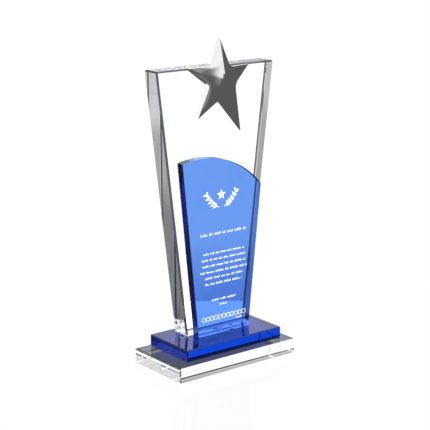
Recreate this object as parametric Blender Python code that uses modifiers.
"""Star trophy: a crystal award with a chrome star.

A clear tapered upright stands on two crystal slabs. A blue plaque with an arched top is glued to the front of
the upright, and a star with one long leg to its top edge. Every joint is a thin layer of adhesive.
Metres, +Z up. The award faces -Y, and the origin is the middle of the underside of the lower slab.
"""

from math import asin, cos, radians, sin, sqrt

import bmesh
import bpy

# ---- driving dimensions ----
GLUE_GAP = 0.0003          # clearance on each side of an adhesive layer
GLUE_FILM = 0.0002         # thickness of an adhesive layer
JOINT = GLUE_FILM + 2 * GLUE_GAP
GLUE_INSET = 0.0015        # how far an adhesive layer stops short of the faces it joins

CLEAR_BASE = (0.139, 0.073, 0.0143)
BLUE_BASE = (0.1135, 0.060, 0.01084)
BLUE_BASE_SHIFT = (0.0028, 0.0033)   # the upper slab sits a little right of and behind the middle
BASE_CHAMFER = 0.0008

UPRIGHT_TOP_WIDTH = 0.1376
UPRIGHT_FOOT_WIDTH = 0.0735
UPRIGHT_THICKNESS = 0.020
UPRIGHT_TOP_Z = 0.2825
UPRIGHT_MIDDLE_X = 0.0054
UPRIGHT_FRONT_Y = 0.00445
UPRIGHT_CHAMFER = 0.0012

PLAQUE_PROUD = 0.0085      # how far the plaque's face stands in front of the upright
PLAQUE_FOOT_X = (-0.0236, 0.0372)
PLAQUE_LEAN = (0.1035, 0.1064)       # how far the left and right edges open per unit of height
PLAQUE_ARC_CENTRE = (-0.0190, 0.1050)
PLAQUE_ARC_RADIUS = 0.0942
PLAQUE_ARC_STEPS = 28
PLAQUE_CHAMFER = 0.0005

STAR_CENTRE = (0.0056, 0.2698)
STAR_APEX = 0.0134         # how far the middle of the star stands in front of the upright
STAR_WAIST_DEPTH = 0.0080  # the same for the corners between two arms
# each arm's direction in degrees from +X, its reach, and how far its tip stands in front of the upright
STAR_ARMS = (
    (90.0, 0.0383, 0.0043),
    (160.3, 0.0388, 0.0043),
    (233.1, 0.0427, 0.0043),
    (297.6, 0.0567, 0.0019),
    (379.5, 0.0360, 0.0043),
)
# the corner that follows each arm: direction and distance from the middle
STAR_WAISTS = (
    (121.0, 0.0154),
    (193.5, 0.0145),
    (261.0, 0.0174),
    (343.0, 0.0160),
    (411.5, 0.0150),
)
STAR_PAD_RADIUS = 0.0105
STAR_PAD_SIDES = 32

# ---- heights worked out from them ----
BLUE_BASE_Z = CLEAR_BASE[2] + JOINT
BLUE_TOP_Z = BLUE_BASE_Z + BLUE_BASE[2]
FOOT_Z = BLUE_TOP_Z + JOINT
PLAQUE_BACK_Y = UPRIGHT_FRONT_Y - JOINT
PLAQUE_FRONT_Y = UPRIGHT_FRONT_Y - PLAQUE_PROUD

# ---- finishes: colour, roughness, metallic, transmission ----
CLEAR_CRYSTAL = ("clear_crystal", (0.92, 0.95, 0.97), 0.02, 0.0, 1.0)
BLUE_CRYSTAL = ("blue_crystal", (0.02, 0.13, 0.80), 0.02, 0.0, 0.9)
PLAQUE_CRYSTAL = ("plaque_crystal", (0.16, 0.34, 0.90), 0.03, 0.0, 0.7)
CHROME = ("chrome", (0.62, 0.62, 0.63), 0.12, 1.0, 0.0)
ADHESIVE = ("cured_adhesive", (0.90, 0.92, 0.93), 0.10, 0.0, 0.8)


def clear_scene():
    for obj in list(bpy.data.objects):
        bpy.data.objects.remove(obj, do_unlink=True)


def new_material(owner, finish):
    name, colour, roughness, metallic, transmission = finish
    material = bpy.data.materials.new(f"{owner}_{name}")
    material.use_nodes = True
    shader = material.node_tree.nodes["Principled BSDF"]
    shader.inputs["Base Color"].default_value = (*colour, 1.0)
    shader.inputs["Roughness"].default_value = roughness
    shader.inputs["Metallic"].default_value = metallic
    shader.inputs["Transmission Weight"].default_value = transmission
    return material


def add_part(name, data, finish, location=(0.0, 0.0, 0.0), rotation=(0.0, 0.0, 0.0)):
    """Put one piece in the trophy's collection, in its place and with its own material."""
    obj = bpy.data.objects.new(name, data)
    obj.location = location
    obj.rotation_euler = rotation
    data.materials.append(new_material(name, finish))
    trophy.objects.link(obj)
    return obj


def mesh_from(bm, name):
    mesh = bpy.data.meshes.new(name)
    bm.to_mesh(mesh)
    bm.free()
    return mesh


def block(name, size, middle_xy, bottom_z, finish):
    """A rectangular slab, given by its size, the middle of its plan and its underside."""
    bm = bmesh.new()
    bmesh.ops.create_cube(bm, size=1.0)
    bmesh.ops.scale(bm, vec=size, verts=bm.verts)
    place = (middle_xy[0], middle_xy[1], bottom_z + size[2] / 2)
    return add_part(name, mesh_from(bm, name), finish, place)


def chamfer(obj, width, weld=False):
    """Grind every sharp edge of a piece to a narrow flat."""
    if weld:
        seam = obj.modifiers.new("close_caps", "WELD")
        seam.merge_threshold = 0.00001
    edge = obj.modifiers.new("chamfer", "BEVEL")
    edge.width = width
    edge.segments = 1
    edge.limit_method = "ANGLE"
    edge.angle_limit = radians(40)


def lower_slab():
    chamfer(block("clear_base_slab", CLEAR_BASE, (0.0, 0.0), 0.0, CLEAR_CRYSTAL), BASE_CHAMFER)


def upper_slab():
    chamfer(block("blue_base_slab", BLUE_BASE, BLUE_BASE_SHIFT, BLUE_BASE_Z, BLUE_CRYSTAL), BASE_CHAMFER)


def upright():
    """The clear upright: a block whose foot is drawn in."""
    height = UPRIGHT_TOP_Z - FOOT_Z
    middle = (UPRIGHT_MIDDLE_X, UPRIGHT_FRONT_Y + UPRIGHT_THICKNESS / 2)
    size = (UPRIGHT_TOP_WIDTH, UPRIGHT_THICKNESS, height)
    obj = block("upright_slab", size, middle, FOOT_Z, CLEAR_CRYSTAL)
    taper = UPRIGHT_FOOT_WIDTH / UPRIGHT_TOP_WIDTH
    for vert in obj.data.vertices:
        if vert.co.z < 0:
            vert.co.x *= taper
    chamfer(obj, UPRIGHT_CHAMFER)


def plaque_outline(inset):
    """The plaque's outline in X and Z: two straight leaning edges joined by an arc of one circle."""
    foot_z = FOOT_Z + inset
    radius = PLAQUE_ARC_RADIUS - inset
    centre_x, centre_z = PLAQUE_ARC_CENTRE
    corners = []
    for side, foot_x, lean in zip((-1, 1), PLAQUE_FOOT_X, PLAQUE_LEAN):
        foot_x -= side * inset
        # where the leaning edge meets the arc: x = foot_x + side * lean * (z - foot_z)
        slope = side * lean
        offset = foot_x - slope * foot_z - centre_x
        a, b, c = slope ** 2 + 1, slope * offset - centre_z, offset ** 2 + centre_z ** 2 - radius ** 2
        top_z = (-b + sqrt(b * b - a * c)) / a
        corners.append((foot_x, foot_x + slope * (top_z - foot_z)))
    (left_foot, left_top), (right_foot, right_top) = corners
    start = asin((left_top - centre_x) / radius)
    end = asin((right_top - centre_x) / radius)
    outline = [(left_foot, foot_z)]
    for step in range(PLAQUE_ARC_STEPS + 1):
        angle = start + (end - start) * step / PLAQUE_ARC_STEPS
        outline.append((centre_x + radius * sin(angle), centre_z + radius * cos(angle)))
    outline.append((right_foot, foot_z))
    return outline


def plate(name, outline, front_y, back_y, finish):
    """A flat plate that stands up: its outline is drawn in X and Z."""
    curve = bpy.data.curves.new(name, "CURVE")
    curve.dimensions = "2D"
    curve.fill_mode = "BOTH"
    curve.extrude = (back_y - front_y) / 2
    spline = curve.splines.new("POLY")
    spline.points.add(len(outline) - 1)
    for point, (x, z) in zip(spline.points, outline):
        point.co = (x, z, 0.0, 1.0)
    spline.use_cyclic_u = True
    return add_part(name, curve, finish, (0.0, (front_y + back_y) / 2, 0.0), (radians(90), 0.0, 0.0))


def plaque():
    body = plate("blue_plaque", plaque_outline(0.0), PLAQUE_FRONT_Y, PLAQUE_BACK_Y, PLAQUE_CRYSTAL)
    chamfer(body, PLAQUE_CHAMFER, weld=True)


def polar(direction, distance):
    angle = radians(direction)
    return distance * cos(angle), distance * sin(angle)


def star():
    """The star: a ring of ten corners round a raised middle, on a flat back."""
    corners = []
    for (arm, reach, tip_depth), (notch, distance) in zip(STAR_ARMS, STAR_WAISTS):
        corners.append((*polar(arm, reach), tip_depth))
        corners.append((*polar(notch, distance), STAR_WAIST_DEPTH))
    bm = bmesh.new()
    bmesh.ops.create_circle(bm, cap_ends=True, cap_tris=True, segments=len(corners), radius=1.0)
    centre_x, centre_z = STAR_CENTRE
    ring = list(bm.verts)
    middle = max(ring, key=lambda vert: len(vert.link_edges))
    ring.remove(middle)
    # the circle's corners run round it in order, so each takes the next corner of the star
    front = bmesh.ops.extrude_face_region(bm, geom=bm.faces[:])["geom"]
    front_of = {}
    for vert in (item for item in front if isinstance(item, bmesh.types.BMVert)):
        front_of[tuple(round(value, 4) for value in vert.co)] = vert
    for vert, (x, z, depth) in zip(ring, corners):
        pair = front_of[tuple(round(value, 4) for value in vert.co)]
        vert.co = (centre_x + x, PLAQUE_BACK_Y, centre_z + z)
        pair.co = (centre_x + x, UPRIGHT_FRONT_Y - depth, centre_z + z)
    apex = front_of[tuple(round(value, 4) for value in middle.co)]
    middle.co = (centre_x, PLAQUE_BACK_Y, centre_z)
    apex.co = (centre_x, UPRIGHT_FRONT_Y - STAR_APEX, centre_z)
    bmesh.ops.recalc_face_normals(bm, faces=bm.faces)
    add_part("star", mesh_from(bm, "star"), CHROME)


def adhesive_layers():
    """The cured glue between each two pieces, set in from their edges."""
    def layer(name, width, depth, middle_xy, joint_z):
        size = (width - 2 * GLUE_INSET, depth - 2 * GLUE_INSET, GLUE_FILM)
        block(name, size, middle_xy, joint_z + GLUE_GAP, ADHESIVE)

    layer("base_bond_film", BLUE_BASE[0], BLUE_BASE[1], BLUE_BASE_SHIFT, CLEAR_BASE[2])
    upright_middle = (UPRIGHT_MIDDLE_X, UPRIGHT_FRONT_Y + UPRIGHT_THICKNESS / 2)
    layer("upright_bond_film", UPRIGHT_FOOT_WIDTH, UPRIGHT_THICKNESS, upright_middle, BLUE_TOP_Z)
    plaque_middle = (sum(PLAQUE_FOOT_X) / 2, (PLAQUE_FRONT_Y + PLAQUE_BACK_Y) / 2)
    plaque_width = PLAQUE_FOOT_X[1] - PLAQUE_FOOT_X[0]
    plaque_depth = PLAQUE_BACK_Y - PLAQUE_FRONT_Y
    layer("plaque_foot_bond_film", plaque_width, plaque_depth, plaque_middle, BLUE_TOP_Z)

    film_front = PLAQUE_BACK_Y + GLUE_GAP
    film_back = film_front + GLUE_FILM
    plate("plaque_face_bond_film", plaque_outline(GLUE_INSET), film_front, film_back, ADHESIVE)
    pad = []
    for side in range(STAR_PAD_SIDES):
        x, z = polar(360 * side / STAR_PAD_SIDES, STAR_PAD_RADIUS)
        pad.append((STAR_CENTRE[0] + x, STAR_CENTRE[1] + z))
    plate("star_bond_pad", pad, film_front, film_back, ADHESIVE)


clear_scene()
trophy = bpy.data.collections.new("star_trophy")
bpy.context.scene.collection.children.link(trophy)
lower_slab()
upper_slab()
upright()
plaque()
star()
adhesive_layers()
